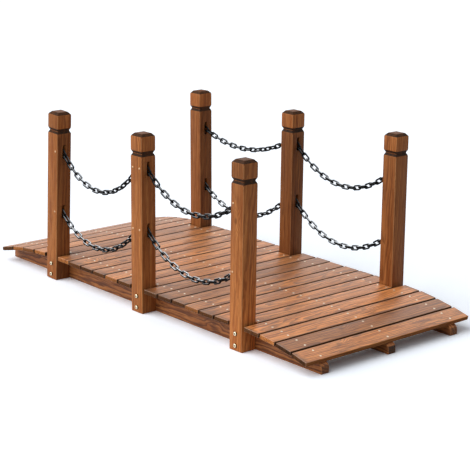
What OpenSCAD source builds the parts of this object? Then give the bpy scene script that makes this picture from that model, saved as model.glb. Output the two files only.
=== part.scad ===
// Garden footbridge: a slatted deck on three stringers, with six posts and chain rails.
// X runs along the walkway, -Y is the front side, Z is up. The origin is on the ground at the centre.

/* [Deck] */
// Width of one board, along the walkway
board_w = 60; // [45:1:80]
// Thickness of a board
board_t = 13; // [10:0.5:20]
// Gap between neighbouring boards
board_gap = 5; // [3:0.5:8]
// Chamfer on a board's long upper edges
board_ease = 1.5; // [0.5:0.5:3]
// How far a full board runs past the posts' outer faces
board_overhang = 1.5; // [0:0.5:20]
// Boards between two neighbouring posts
bay_boards = 6; // [5:1:8]
// Boards on each ramp, outside the end posts
ramp_boards = 4; // [3:1:5]

/* [Stringers] */
// Clear width between the posts, which is also the width over the stringers
walk_w = 556; // [400:1:800]
// Thickness of a stringer
stringer_t = 30; // [22:1:45]
// Height of a stringer between the end posts
stringer_h = 67.5; // [62:0.5:90]
// Height of a stringer under the end of the deck
stringer_end_h = 30; // [20:0.5:45]
// How far the stringers run past the end of the deck
stringer_overhang = 5; // [0:1:30]
// Chamfer on the upper corner of a stringer's tip
stringer_tip = 6; // [1:0.5:10]

/* [Posts] */
// Width of a square post
post_w = 53; // [45:1:70]
// Height of a post over its cap
post_h = 552; // [530:1:700]
// Chamfer on a post's long edges
post_ease = 1; // [0.5:0.5:4]
// Height of the cap's sloping sides
cap_rise = 9; // [4:0.5:16]
// How far the cap's flat top stands in from the post's faces
cap_inset = 8.5; // [4:0.5:14]
// Distance from the top of the post to the middle of its groove
groove_drop = 60; // [50:1:70]
// Height of the V-groove at the post's face
groove_h = 17.5; // [8:0.5:24]
// Depth of the V-groove
groove_depth = 4.75; // [2:0.25:7]
// Lean of the front posts from left to right, towards +X, in degrees
front_lean = [2.3, -0.5, -0.3]; // [-3:0.1:3]
// Lean of the back posts from left to right, towards +X, in degrees
back_lean = [-1.2, -0.3, -0.5]; // [-3:0.1:3]

/* [Chains] */
// Wire diameter of a link
wire_d = 5.5; // [3:0.25:6.5]
// Play of the wire across the inside of the next link
link_clear = 2; // [1.5:0.25:4]
// Pitch of the links, which is the clear length inside a link
link_pitch = 25; // [22:0.5:30]
// Turn of the links about the chain's own line, in its steep left part, in degrees
chain_twist = 45; // [0:1:60]
// Least chain length as a multiple of the distance between its pins
chain_slack = 1.1; // [1.06:0.01:1.2]
// The same for the back left upper chain, which is hung shorter
short_slack = 1.04; // [1.03:0.01:1.2]
// Height of the upper pins on the end posts
end_upper_z = 427; // [400:1:440]
// Height of the upper pins on the middle posts
middle_upper_z = 449; // [410:1:455]
// Height of the lower pins on the end posts
end_lower_z = 229.5; // [215:0.5:300]
// Height of the lower pins on the middle posts
middle_lower_z = 260.5; // [220:0.5:310]

/* [Slots and pins] */
// Width of a slot
slot_w = 11; // [8:0.5:13]
// Depth of a slot
slot_depth = 20; // [17:0.5:22]
// Reach of a slot above its pin
slot_above = 18; // [14:1:24]
// Reach of a slot below its pin
slot_below = 25; // [18:1:28]
// Diameter of a pin
pin_d = 4; // [3:0.25:5]
// Distance of a pin from the slotted face
pin_inset = 10.5; // [8:0.5:12]
// Length of wood that a pin holds beyond its slot
pin_grip = 12; // [6:1:18]
// Diameter of a pin's head
pin_head_d = 6.5; // [6:0.25:8]
// Height of a pin's head
pin_head_h = 1.5; // [1:0.25:3]

/* [Post screws] */
// Diameter of a screw
screw_d = 6; // [4:0.5:8]
// Diameter of a screw's head
screw_head_d = 13; // [10:0.5:16]
// Height of a screw's head
screw_head_h = 4; // [2:0.5:6]
// Height of the lower screw
screw_low_z = 16; // [12:0.5:20]
// Distance between a post's two screws
screw_spacing = 35.5; // [24:0.5:38]
// Length of a screw inside the stringer
screw_bite = 22; // [12:1:22]

/* [Fits] */
// Play between neighbouring links
link_play = 0.3; // [0.2:0.05:0.5]
// Play on the diameter between a pin or screw and its hole
hole_play = 0.2; // [0.1:0.05:0.4]
// Play between the end of a short board and a post
board_play = 1; // [0.5:0.25:2]
// Play between a ramp board and the curved stringers
ramp_play = 0.1; // [0.05:0.05:0.3]

/* [Hidden] */
$fn = 48;
wood = "#b4703f";
deck_wood = "#c89473";
steel = "#4a4c50";
zinc = "#d8c48a";
cut_over = 1;
twist_in = 0.2;
twist_hold = 0.45;

FRONT = -1;
BACK = 1;
SIDES = [FRONT, BACK];
COLUMNS = [0, 1, 2];
BAYS = [0, 1];
LEVELS = ["upper", "lower"];
COLUMN_NAMES = ["left", "middle", "right"];
BAY_NAMES = ["left", "right"];
STRINGER_NAMES = ["front_stringer", "middle_stringer", "back_stringer"];

// Deck layout along the walkway
pitch = board_w + board_gap;
bay = (bay_boards + 1) * pitch;
end_post_board = bay_boards + 1;
board_count = 2 * (end_post_board + ramp_boards) + 1;
deck_len = board_count * pitch - board_gap;
stringer_len = deck_len + 2 * stringer_overhang;
board_len = walk_w + 2 * (post_w + board_overhang);
short_board_len = walk_w - 2 * board_play;

// The ramp's arc leaves the flat at the end posts and meets the end height under the last board
ramp_run = deck_len / 2 - bay;
ramp_drop = stringer_h - stringer_end_h;
ramp_r = (ramp_run * ramp_run + ramp_drop * ramp_drop) / (2 * ramp_drop);

post_y = (walk_w + post_w) / 2;
pin_x = post_w / 2 - pin_inset;
pin_len = (post_w + slot_w) / 2 + pin_grip;
screw_len = post_w + screw_bite;
screw_heights = [screw_low_z, screw_low_z + screw_spacing];

// Links
link_gap = wire_d + link_clear;
link_inner = link_pitch + link_play;
link_bend_r = (link_gap + wire_d) / 2;
link_straight = link_inner - link_gap;
end_link_reach = link_pitch - pin_d / 2;
chain_span = bay - 2 * pin_x;

function side_name(side) = side == FRONT ? "front" : "back";
function post_name(side, column) = str(side_name(side), "_", COLUMN_NAMES[column], "_post");
function chain_name(side, bay_no, level) =
    str(side_name(side), "_", BAY_NAMES[bay_no], "_", level, "_chain");
function board_name(k) = str("deck_board_", k < 10 ? "0" : "", k);

// Where things sit on a post, which leans about the foot edge that it stands on
function post_x(column) = (column - 1) * bay;
function lean(side, column) = (side == FRONT ? front_lean : back_lean)[column];
function foot(side, column) = (lean(side, column) < 0 ? -1 : 1) * post_w / 2;
function on_post(side, column, x, z) =
    let (a = lean(side, column), edge = foot(side, column), from_foot = x - edge)
    [post_x(column) + edge + from_foot * cos(a) + z * sin(a), z * cos(a) - from_foot * sin(a)];
function pin_z(column, level) =
    level == "upper" ? (column == 1 ? middle_upper_z : end_upper_z)
                     : (column == 1 ? middle_lower_z : end_lower_z);
// The faces of a post that carry chains: +1 looks towards +X
function slot_faces(column) = column == 0 ? [1] : column == 1 ? [-1, 1] : [-1];

module on_post(side, column) {
    edge = foot(side, column);
    translate([post_x(column) + edge, side * post_y, 0])
        rotate([0, lean(side, column), 0])
            translate([-edge, 0, 0])
                children();
}

// Points an axis that runs up Z outwards, away from the walkway
module facing_out(side) {
    rotate([-90 * side, 0, 0]) children();
}

// A round pin whose head sits on Z = 0 and whose shank runs down
module headed_pin(d, len, head_d, head_h) {
    rotate_extrude()
        polygon([
            [0, -len], [d / 2, -len], [d / 2, 0], [head_d / 2, 0],
            [head_d / 2, head_h / 2], [head_d / 3, head_h], [0, head_h]
        ]);
}

// Stringers

module stringer_side() {
    translate([-bay, 0]) square([2 * bay, stringer_h]);
    for (end = [-1, 1])
        mirror([end < 0 ? 1 : 0, 0])
            difference() {
                intersection() {
                    translate([bay, 0]) square([stringer_len / 2 - bay, stringer_h + cut_over]);
                    translate([bay, stringer_h - ramp_r]) circle(ramp_r);
                }
                translate([stringer_len / 2, ramp_top(stringer_len / 2)])
                    rotate(45) square(stringer_tip * sqrt(2), center = true);
            }
}

function ramp_top(x) = stringer_h - ramp_r + sqrt(ramp_r * ramp_r - (x - bay) * (x - bay));

module stringer(place) {
    color(wood)
        difference() {
            translate([0, place * (walk_w - stringer_t) / 2, 0])
                rotate([90, 0, 0]) linear_extrude(stringer_t, center = true) stringer_side();
            if (place != 0)
                for (column = COLUMNS)
                    on_post(place, column) screw_holes(place);
        }
}

// Posts

module post_side() {
    half = post_w / 2;
    groove_z = post_h - groove_drop;
    right = [
        [half, 0],
        [half, groove_z - groove_h / 2],
        [half - groove_depth, groove_z],
        [half, groove_z + groove_h / 2],
        [half, post_h - cap_rise],
        [half - cap_inset, post_h]
    ];
    left = [for (i = [len(right) - 1:-1:0]) [-right[i][0], right[i][1]]];
    polygon(concat(right, left));
}

module post_plan() {
    half = post_w / 2;
    flat = half - post_ease;
    polygon([
        [half, -flat], [half, flat], [flat, half], [-flat, half],
        [-half, flat], [-half, -flat], [-flat, -half], [flat, -half]
    ]);
}

module post_body() {
    intersection() {
        rotate([90, 0, 0]) linear_extrude(post_w + cut_over, center = true) post_side();
        rotate([90, 0, 90]) linear_extrude(post_w + cut_over, center = true) post_side();
        linear_extrude(post_h + cut_over) post_plan();
    }
}

module slot(face, z) {
    straight_low = z - slot_below + slot_w / 2;
    straight_high = z + slot_above - slot_w / 2;
    mirror([face < 0 ? 1 : 0, 0, 0])
        translate([post_w / 2 - slot_depth, 0, 0]) {
            translate([0, -slot_w / 2, straight_low])
                cube([slot_depth + cut_over, slot_w, straight_high - straight_low]);
            for (end_z = [straight_low, straight_high])
                translate([0, 0, end_z]) rotate([0, 90, 0]) cylinder(d = slot_w, h = slot_depth + cut_over);
        }
}

module screw_holes(side) {
    for (z = screw_heights)
        translate([0, side * post_w / 2, z])
            facing_out(side)
                translate([0, 0, -screw_len - hole_play])
                    cylinder(d = screw_d + hole_play, h = screw_len + hole_play + cut_over);
}

module pin_hole(side, x, z) {
    translate([x, side * post_w / 2, z])
        facing_out(side)
            translate([0, 0, -pin_len - hole_play])
                cylinder(d = pin_d + hole_play, h = pin_len + hole_play + cut_over);
}

module post(side, column) {
    color(wood)
        on_post(side, column)
            difference() {
                post_body();
                screw_holes(side);
                for (face = slot_faces(column), level = LEVELS) {
                    slot(face, pin_z(column, level));
                    pin_hole(side, face * pin_x, pin_z(column, level));
                }
            }
}

module post_screws(side) {
    color(zinc)
        for (column = COLUMNS, z = screw_heights)
            on_post(side, column)
                translate([0, side * post_w / 2, z])
                    facing_out(side) headed_pin(screw_d, screw_len, screw_head_d, screw_head_h);
}

module chain_pins(side) {
    color(zinc)
        for (column = COLUMNS, face = slot_faces(column), level = LEVELS)
            on_post(side, column)
                translate([face * pin_x, side * post_w / 2, pin_z(column, level)])
                    facing_out(side) headed_pin(pin_d, pin_len, pin_head_d, pin_head_h);
}

// Chains

// An oval link of round wire that lies in the XY plane with its length along X
module link() {
    for (end = [-1, 1]) {
        translate([end * link_straight / 2, 0, 0])
            rotate([0, 0, -90 * end])
                rotate_extrude(angle = 180) translate([link_bend_r, 0]) circle(d = wire_d);
        translate([-link_straight / 2, end * link_bend_r, 0])
            rotate([0, 90, 0]) cylinder(d = wire_d, h = link_straight);
    }
}

function sum(v, i = 0) = i < len(v) ? v[i] + sum(v, i + 1) : 0;

// An odd count leaves both end links upright in their slots without any twist
function odd_links(need) = 2 * ceil((need / link_pitch - 1) / 2) + 1;
function is_short(side, bay_no, level) = side == BACK && bay_no == 0 && level == "upper";
function link_count(side, bay_no, level) =
    is_short(side, bay_no, level) ? ceil((chain_span * short_slack + pin_d) / link_pitch)
                                  : odd_links(chain_span * chain_slack + pin_d);

// A hanging row of equal links has slopes that rise by equal steps: middle + step * (i - (n - 1) / 2)
function place_in_row(i, n) = i - (n - 1) / 2;
function reach_of(i, n) = i == 0 || i == n - 1 ? end_link_reach : link_pitch;
function slopes(n, middle, step) = [for (i = [0:n - 1]) middle + step * place_in_row(i, n)];
function run_of(s) = sum([for (i = [0:len(s) - 1]) reach_of(i, len(s)) / sqrt(1 + s[i] * s[i])]);
function rise_of(s) = sum([for (i = [0:len(s) - 1]) reach_of(i, len(s)) * s[i] / sqrt(1 + s[i] * s[i])]);

// Newton's method finds the middle slope and the step that bring the last link to its pin
function hang(n, dx, dz, middle, step, tries = 14) =
    let (
        s = slopes(n, middle, step),
        bend = [for (i = [0:n - 1]) reach_of(i, n) / pow(1 + s[i] * s[i], 1.5)],
        run_middle = -sum([for (i = [0:n - 1]) s[i] * bend[i]]),
        run_step = -sum([for (i = [0:n - 1]) s[i] * bend[i] * place_in_row(i, n)]),
        rise_middle = sum(bend),
        rise_step = sum([for (i = [0:n - 1]) bend[i] * place_in_row(i, n)]),
        run_error = dx - run_of(s),
        rise_error = dz - rise_of(s),
        scale = run_middle * rise_step - run_step * rise_middle,
        middle_change = (run_error * rise_step - run_step * rise_error) / scale,
        step_change = (run_middle * rise_error - run_error * rise_middle) / scale
    )
    tries == 0 ? s : hang(n, dx, dz, middle + middle_change, step + step_change, tries - 1);

// First guess of the step, from a shallow parabola of the same length
function first_step(n, span) =
    let (extra = max(sum([for (i = [0:n - 1]) reach_of(i, n)]) / span - 1, 0.001))
    8 * sqrt(0.375 * extra) / (n - 1);

function joints(start, s, i = 0) =
    i == len(s) ? [start]
    : let (angle = atan(s[i]), reach = reach_of(i, len(s)))
      concat([start], joints(start + reach * [cos(angle), sin(angle)], s, i + 1));

// The twist comes in over the first links, holds down the steep part and dies out towards the far end
function twist_share(u) =
    u < twist_in ? u / twist_in : u < twist_hold ? 1 : (1 - u) / (1 - twist_hold);

module chain(side, bay_no, level) {
    n = link_count(side, bay_no, level);
    start = on_post(side, bay_no, pin_x, pin_z(bay_no, level));
    finish = on_post(side, bay_no + 1, -pin_x, pin_z(bay_no + 1, level));
    across = finish - start;
    s = hang(n, across[0], across[1], across[1] / across[0], first_step(n, norm(across)));
    at = joints(start, s);
    // An even count is brought upright at its far end by a quarter turn, spread over the row
    spread = n % 2 == 0 ? 90 / (n - 1) : 0;
    color(steel)
        for (i = [0:n - 1]) {
            angle = atan(s[i]);
            along = [cos(angle), sin(angle)];
            middle = i == 0 ? at[1] - along * link_pitch / 2 : at[i] + along * link_pitch / 2;
            translate([middle[0], side * post_y, middle[1]])
                rotate([0, -angle, 0])
                    rotate([90 + (90 + spread) * i - chain_twist * twist_share(i / (n - 1)), 0, 0])
                        link();
        }
}

// Deck boards, numbered from the left end

module board(length) {
    half = board_w / 2;
    rotate([90, 0, 0])
        linear_extrude(length, center = true)
            polygon([
                [-half, 0], [half, 0], [half, board_t - board_ease], [half - board_ease, board_t],
                [board_ease - half, board_t], [-half, board_t - board_ease]
            ]);
}

module deck_board(k) {
    from_middle = k - (board_count + 1) / 2;
    out = sign(from_middle);
    ramp_no = abs(from_middle) - end_post_board;
    color(deck_wood)
        if (ramp_no > 0) {
            tilt = ramp_no * pitch / ramp_r * 180 / PI;
            translate([out * bay, 0, stringer_h - ramp_r])
                rotate([0, out * tilt, 0])
                    translate([0, 0, ramp_r + ramp_play])
                        board(board_len);
        } else
            translate([from_middle * pitch, 0, stringer_h])
                board(from_middle % end_post_board == 0 ? short_board_len : board_len);
}

for (i = [0:2])
    stringer(i - 1);
for (side = SIDES, column = COLUMNS)
    post(side, column);
for (side = SIDES, bay_no = BAYS, level = LEVELS)
    chain(side, bay_no, level);
for (side = SIDES)
    chain_pins(side);
for (side = SIDES)
    post_screws(side);
for (k = [1:board_count])
    deck_board(k);
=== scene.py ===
"""Dresses the frame of a garden footbridge: stained fir boards, posts and stringers, steel chain,
plated screws and nails, with a pale floor, soft light and a camera."""

import contextlib
import math
import random

import bmesh
import bpy
import numpy as np
from bpy.props import FloatProperty, FloatVectorProperty, IntProperty, PointerProperty
from mathutils import Matrix, Vector


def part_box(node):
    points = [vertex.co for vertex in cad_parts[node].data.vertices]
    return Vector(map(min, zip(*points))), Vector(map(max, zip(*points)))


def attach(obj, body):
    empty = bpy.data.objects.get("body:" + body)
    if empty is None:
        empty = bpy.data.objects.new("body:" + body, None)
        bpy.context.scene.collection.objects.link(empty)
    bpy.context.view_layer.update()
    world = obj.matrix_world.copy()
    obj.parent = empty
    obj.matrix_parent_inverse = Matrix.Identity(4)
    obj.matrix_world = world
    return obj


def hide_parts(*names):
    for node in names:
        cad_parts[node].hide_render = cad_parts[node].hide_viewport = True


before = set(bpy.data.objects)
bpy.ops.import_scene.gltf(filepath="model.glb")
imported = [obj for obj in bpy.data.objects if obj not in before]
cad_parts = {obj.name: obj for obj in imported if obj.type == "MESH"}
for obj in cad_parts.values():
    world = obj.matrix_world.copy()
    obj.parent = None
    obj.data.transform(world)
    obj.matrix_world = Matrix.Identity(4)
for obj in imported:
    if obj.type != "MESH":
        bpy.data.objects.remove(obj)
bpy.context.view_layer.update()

bl_info = {
    "name": "Garden footbridge",
    "version": (1, 0, 0),
    "blender": (4, 5, 0),
    "location": "View3D > Sidebar > Footbridge",
    "description": "Models the wood, chain and fastenings of a garden footbridge over its frame",
    "category": "Object",
}

MM = 0.001
BODY = "root"
SIDES = {"front": -1, "back": 1}
COLUMNS = ("left", "middle", "right")
STRINGERS = ("front_stringer", "middle_stringer", "back_stringer")
BOARDS = sorted(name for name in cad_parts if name.startswith("deck_board_"))
CHAINS = sorted(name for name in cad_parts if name.endswith("_chain"))

# The least share of an axis in the normal of a face that looks along it, from roughly to squarely
ROUGHLY, NEARLY, CLOSELY, SQUARELY = 0.8, 0.9, 0.95, 0.99
# The most of Z in the normal of an upright face
UPRIGHT = 0.1
# Two heights this close are the same, a point this close to a face is on it, and one this far is clear
SAME, TOUCH, CLEAR = 0.01 * MM, 0.1 * MM, 5 * MM
FAR_AWAY = 1.0e4
# Heads of screws or pins are at least this far apart
HEAD_APART = 20 * MM
# Edges sharper than the first angle are rounded, and flatter ones than the other two are shaded smooth
SHARP, SMOOTH, SMOOTH_HEAD = (math.radians(degrees) for degrees in (32, 35, 40))
# Millimetres across the camera's sensor, and metres across the floor
SENSOR_WIDTH, FLOOR_SIZE = 36, 60

# How the stain shows on each part of the bridge: the coat's roughness and sheen, the shares of dark in
# patches, lines and rings, and where they differ from the rest, the rings' spacing and sway in millimetres
FIR_LOOKS = {
    "posts": {"roughness": 0.5, "sheen": 0.14, "patchy": 0.3, "lines": 0.38, "rings": 0.45},
    "caps": {"roughness": 0.4, "sheen": 0.45, "patchy": 0.3, "lines": 0.38, "rings": 0.45},
    "stringers": {
        "roughness": 0.6, "sheen": 0.4, "patchy": 0.6, "lines": 0.75, "rings": 0.85,
        "spacing": 10, "sway": 28},
    "boards": {"roughness": 0.43, "sheen": 1.0, "patchy": 0.6, "lines": 0.7, "rings": 0.62},
    "ends": {"roughness": 0.7, "sheen": 0.1, "patchy": 0.6, "lines": 0.7, "rings": 0.62},
}
# How dark each kind of face is, from 0 for clean wood to about 1 for black
CHAR_AND_SHADE = {
    # Scorch at the ends, tips, caps and grooves; painted shade in the slots, beside the gaps and on an end
    # board's outward face
    "cap top": 0.75, "cap slope": 1.0, "cap block": 0.22, "groove": 1.05, "slot": 1.0,
    "shaded gap side": 1.0, "shaded gap edge": 0.75, "shaded outer side": 0.6, "outer edge": 0.1,
    "weathered end": 0.9, "middle tip": 1.0, "outer tip": 0.6,
}
# How much pale wood shows on worn edges
WEAR = {"posts": 0.6, "stringers": 0.3, "boards": 0.1}

# How pale or dark a post took the stain, from -1 to 1, at its top and at its foot; a paler foot is painted
# light from the floor
POST_TONES_AND_FOOT_LIGHT = {
    "front_left_newel": (-0.1, 0.25), "front_middle_newel": (-0.2, 0.4),
    "front_right_newel": (-0.55, 1.0), "back_left_newel": (-0.45, -0.45),
    "back_middle_newel": (-1.0, -0.9), "back_right_newel": (-0.65, -0.55),
}
# Three posts have painted shade on their +X side below the groove, and four have a paler block above the
# groove
PAINTED_SHADE_SIDES = {"front_left_newel": 0.42, "front_middle_newel": 0.14, "back_left_newel": 0.35}
CAP_LIFTS = {
    "front_middle_newel": 0.15, "back_left_newel": 0.5, "back_middle_newel": 0.8, "back_right_newel": 0.4,
}
# One post has a knot part of the way up, and the front stringer one along it and above the ground
KNOTTY_POSTS = {"front_right_newel": 0.378}
STRINGER_KNOTS = {"front_stringer": (0.30, 0.03)}
STRINGER_TONE = -0.1
# Some boards are darker or paler than their draw would make them
BOARD_TONES = {
    "plank_14": -0.6, "plank_10": 0.55, "plank_12": 0.5, "plank_20": 0.6, "plank_22": -0.6, "plank_23": 0.15,
}
# About a third of the boards' ends are scorched, and these ones in any case
BURNT_ENDS = 0.35
BURNT_IN_FRONT = ("plank_01", "plank_22", "plank_23")
# Reach of the weathered dark at some boards' front ends, in millimetres
WEATHERED_ENDS = {
    "plank_07": 60, "plank_09": 55, "plank_11": 85, "plank_13": 45,
    "plank_14": 55, "plank_15": 60, "plank_17": 75, "plank_18": 45,
}

# Draws for the grain: how far the pith lies from a piece's middle in millimetres, along, across and
# through it, and how the pith tilts across and through
PITH_DRAWS = ((-400, 400), (-55, 55), (22, 60))
TILT_DRAWS = ((-0.02, 0.02), (-0.06, 0.06))
# Draws for the knots in metres: across a post, along and above a stringer, and across and along a board
POST_KNOT_DRAW = (-0.01, 0.01)
STRINGER_KNOT_DRAWS = ((-0.5, 0.5), (0.015, 0.05))
BOARD_KNOT_DRAWS = ((-0.022, 0.022), (-0.28, 0.28))
CLEAR_BOARDS = 0.45
# Draws for the boards: the reach of scorch in millimetres, how dark an end is, and the tone
BURNT_REACH, PLAIN_REACH = (10, 28), 2
BURNT_DARK, PLAIN_DARK = (0.8, 1.0), (0.1, 0.35)
BOARD_TONE_DRAW = (-0.4, 0.5)


def linear(code):
    """Turns an sRGB hex colour to linear red, green and blue."""
    parts = [int(code[i:i + 2], 16) / 255 for i in (1, 3, 5)]
    return tuple(c / 12.92 if c <= 0.04045 else ((c + 0.055) / 1.055) ** 2.4 for c in parts)


def colour(name, description, code):
    """A colour setting."""
    return FloatVectorProperty(
        name=name, description=description, subtype="COLOR", size=3, min=0, max=1, default=linear(code))


def length(name, description, millimetres):
    """A length setting, kept in metres."""
    return FloatProperty(
        name=name, description=description, subtype="DISTANCE", unit="LENGTH", min=0,
        default=millimetres * MM)


def angle(name, description, degrees):
    """An angle setting, kept in radians."""
    return FloatProperty(
        name=name, description=description, subtype="ANGLE", default=math.radians(degrees))


# Settings


class WoodSettings(bpy.types.PropertyGroup):
    edge_radius: length("Edge radius", "Rounding of the timber's edges", 1.8)
    board_edge: length("Board edge", "Rounding of the boards' edges", 2.0)
    saw_skew: angle("Saw skew", "Largest angle of a board's cut end", 0.25)
    stagger: length("Stagger", "Largest set-back of a board's sawn end", 4.5)
    tip_radius: length("Tip radius", "Rounding of the upper corner of a stringer's tip", 12)
    ring_width: length("Ring width", "Spacing of the growth rings", 5.5)
    seed: IntProperty(name="Seed", description="Start of the draws for grain, knots and tone", default=7)
    post_pale: colour("Post pale", "Pale early wood of the posts and stringers", "#c27c44")
    post_brown: colour("Post brown", "Main brown of the posts and stringers", "#a05c2c")
    post_dark: colour("Post dark", "Dark late wood of the posts and stringers", "#582a10")
    deck_pale: colour("Deck pale", "Pale early wood of the boards", "#e59654")
    deck_brown: colour("Deck brown", "Main brown of the boards", "#b86e37")
    deck_dark: colour("Deck dark", "Dark late wood of the boards", "#55301c")
    # The scorched colour, also used as painted shade in slots, beside the gaps and on shaded sides
    char: colour("Char", "Scorched end grain and grooves", "#2b1f18")
    worn: colour("Worn edge", "Pale wood on worn edges", "#cf9868")


class PostSettings(bpy.types.PropertyGroup):
    edge_radius: length("Edge radius", "Rounding of a post's long edges", 1.8)
    turned_radius: length("Turned radius", "Rounding of the edges at the groove and the cap", 2.6)
    cap_rise: length("Cap rise", "Height of the cap's sloping sides", 9)
    cap_inset: length("Cap inset", "Inset of the cap's flat top", 8.5)
    groove_drop: length("Groove drop", "Distance of the groove's middle from the top", 60)
    groove_height: length("Groove height", "Height of the groove at the post's face", 17.5)
    groove_depth: length("Groove depth", "Depth of the groove", 4.75)
    slot_width: length("Slot width", "Width of a chain slot", 11)
    slot_depth: length("Slot depth", "Depth of a chain slot", 20)
    slot_above: length("Slot above", "Reach of a slot above its pin", 18)
    slot_below: length("Slot below", "Reach of a slot below its pin", 25)


class MetalSettings(bpy.types.PropertyGroup):
    nail_head: length("Nail head", "Diameter of a nail's head", 6.5)
    nail_rise: length("Nail rise", "Height of a nail's head over the board", 0.9)
    nail_offset: length("Nail offset", "Distance of a nail from the board's centre line", 16)
    nail_stray: length("Nail stray", "Largest distance of a nail from where it was meant to be", 2)
    recess_width: length("Recess width", "Width of an arm of the screws' cross recess", 1.8)
    recess_depth: length("Recess depth", "Depth of the screws' cross recess", 2.2)
    steel: colour("Chain steel", "Dark finish of the chain", "#111214")
    # The rubbed steel is also the colour of the painted highlight on the links' upper sides
    rubbed: colour("Rubbed steel", "Steel where the chain is rubbed bright", "#d4d8dc")
    zinc: colour("Yellow zinc", "Plating of the screws", "#fbeccb")
    # Painted shade in the screws' cross recess and round the rim of a head
    recess_and_rim_shade: colour("Grime", "Grimy plating in a recess and round the rim of a head", "#5a4426")
    pin: colour("Pin zinc", "Plating of the pins", "#d8b088")
    nail: colour("Nail zinc", "Plating of the nails", "#fdf3dc")


class StageSettings(bpy.types.PropertyGroup):
    lens: FloatProperty(name="Lens", description="Focal length on a 36 mm sensor", default=119.69)
    azimuth: angle("Azimuth", "Camera's angle round from the front", 48.697)
    elevation: angle("Elevation", "Camera's angle above level", 15.036)
    roll: angle("Roll", "Camera's roll", 0.893)
    eye: FloatVectorProperty(
        name="Eye", description="Camera's place", subtype="TRANSLATION", unit="LENGTH", size=3,
        default=(3.5969, -3.0993, 1.4647))
    sky: FloatProperty(name="Sky level", description="Even light from all round", default=0.38)
    key: FloatProperty(name="Key level", description="Strength of the soft light", default=2.75)
    key_breadth: angle("Key breadth", "How broad the soft light looks from the bridge", 70)
    key_from: FloatVectorProperty(
        name="Key from", description="Where the soft light comes from: the front left, above",
        subtype="DIRECTION", size=3, default=(-0.38, -0.66, 0.72))
    floor: colour("Floor", "Pale floor", "#e6eef8")
    floor_lift: FloatProperty(
        name="Floor lift", description="How much whiter the floor is drawn for the camera", default=0.32)
    floor_bounce: FloatProperty(
        name="Floor bounce", description="Grey of the floor for the light that it throws back", default=0.42)


class FootbridgeSettings(bpy.types.PropertyGroup):
    wood: PointerProperty(type=WoodSettings)
    post: PointerProperty(type=PostSettings)
    metal: PointerProperty(type=MetalSettings)
    stage: PointerProperty(type=StageSettings)


# Reading the frame: an axis is 0 for X to 2 for Z, and a side is -1 for the front and 1 for the back


def node_points(name):
    """A CAD node's corners, one row each, in metres."""
    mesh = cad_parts[name].data
    points = np.empty(len(mesh.vertices) * 3)
    mesh.vertices.foreach_get("co", points)
    return points.reshape(-1, 3)


def middle_of(name, axis):
    """The middle of a CAD node's box along an axis."""
    return sum(corner[axis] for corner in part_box(name)) / 2


def main_normal(name, axis):
    """The normal of a CAD node's faces that look nearly along an axis."""
    total = Vector((0, 0, 0))
    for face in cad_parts[name].data.polygons:
        if face.normal[axis] > CLOSELY:
            total += face.normal * face.area
    return total.normalized()


def turn_of(name, axis):
    """How a board or post is turned about Y, as a matrix, by its faces that look along an axis."""
    normal = main_normal(name, axis)
    lean = math.atan2(normal.x, normal.z) if axis == 2 else math.atan2(-normal.z, normal.x)
    return Matrix.Rotation(lean, 4, "Y")


def turned_box(name, turn):
    """The lowest and highest corners of a node in its own turned axes."""
    points = node_points(name) @ np.array(turn.to_3x3())
    return Vector(points.min(axis=0)), Vector(points.max(axis=0))


def post_spacing():
    """The distance between the middles of two posts."""
    return (middle_of("back_right_post", 0) - middle_of("back_left_post", 0)) / 2


def stringer_top(name, x):
    """The height of a stringer's top at a place along its right half."""
    points = node_points(name)
    upper = points[(points[:, 2] > CLEAR) & (points[:, 0] > 0)]
    order = np.argsort(upper[:, 0])
    return float(np.interp(x, upper[order, 0], upper[order, 2]))


def outer_face(side):
    """How far the posts' outer face lies from the middle of the bridge."""
    name = "front_middle_post" if side < 0 else "back_middle_post"
    return abs(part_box(name)[max(side, 0)].y)


def heads_of(name, side):
    """The points of each screw or pin head of a CAD node, past the posts' outer face."""
    points = node_points(name)
    rest = points[points[:, 1] * side > outer_face(side) + TOUCH]
    heads = []
    while len(rest):
        near = np.hypot(rest[:, 0] - rest[0, 0], rest[:, 2] - rest[0, 2]) < HEAD_APART
        heads.append(rest[near])
        rest = rest[~near]
    return heads


def head_middles(name, side):
    """The middle of each screw or pin head of a CAD node, on the posts' outer face."""
    middles = []
    for head in heads_of(name, side):
        low, high = head.min(axis=0), head.max(axis=0)
        x, z = (low[0] + high[0]) / 2, (low[2] + high[2]) / 2
        middles.append(Vector((x, side * outer_face(side), z)))
    return middles


def head_size(name):
    """The radius and height of the heads of a CAD node of front screws or pins."""
    across = heads_of(name, -1)[0][:, 0]
    return float(across.max() - across.min()) / 2, abs(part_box(name)[0].y) - outer_face(-1)


# Modelling helpers


def only(piece):
    """Makes one piece the only selected and active object."""
    bpy.ops.object.select_all(action="DESELECT")
    piece.select_set(True)
    bpy.context.view_layer.objects.active = piece


@contextlib.contextmanager
def editing(piece, kind="FACE"):
    """Edit mode on one piece with nothing selected."""
    only(piece)
    bpy.ops.object.mode_set(mode="EDIT")
    bpy.ops.mesh.select_mode(type=kind)
    bpy.ops.mesh.select_all(action="DESELECT")
    yield
    bpy.ops.object.mode_set(mode="OBJECT")


def select_faces(piece, test):
    """Selects the faces that pass a test on their middle and normal."""
    mesh = bmesh.from_edit_mesh(piece.data)
    for face in mesh.faces:
        face.select_set(test(face.calc_center_median(), face.normal))
    mesh.select_flush_mode()
    bmesh.update_edit_mesh(piece.data)


def select_edges(piece, test):
    """Selects the edges that pass a test on their two ends."""
    mesh = bmesh.from_edit_mesh(piece.data)
    for edge in mesh.edges:
        edge.select_set(test(edge.verts[0].co, edge.verts[1].co))
    bmesh.update_edit_mesh(piece.data)


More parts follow.
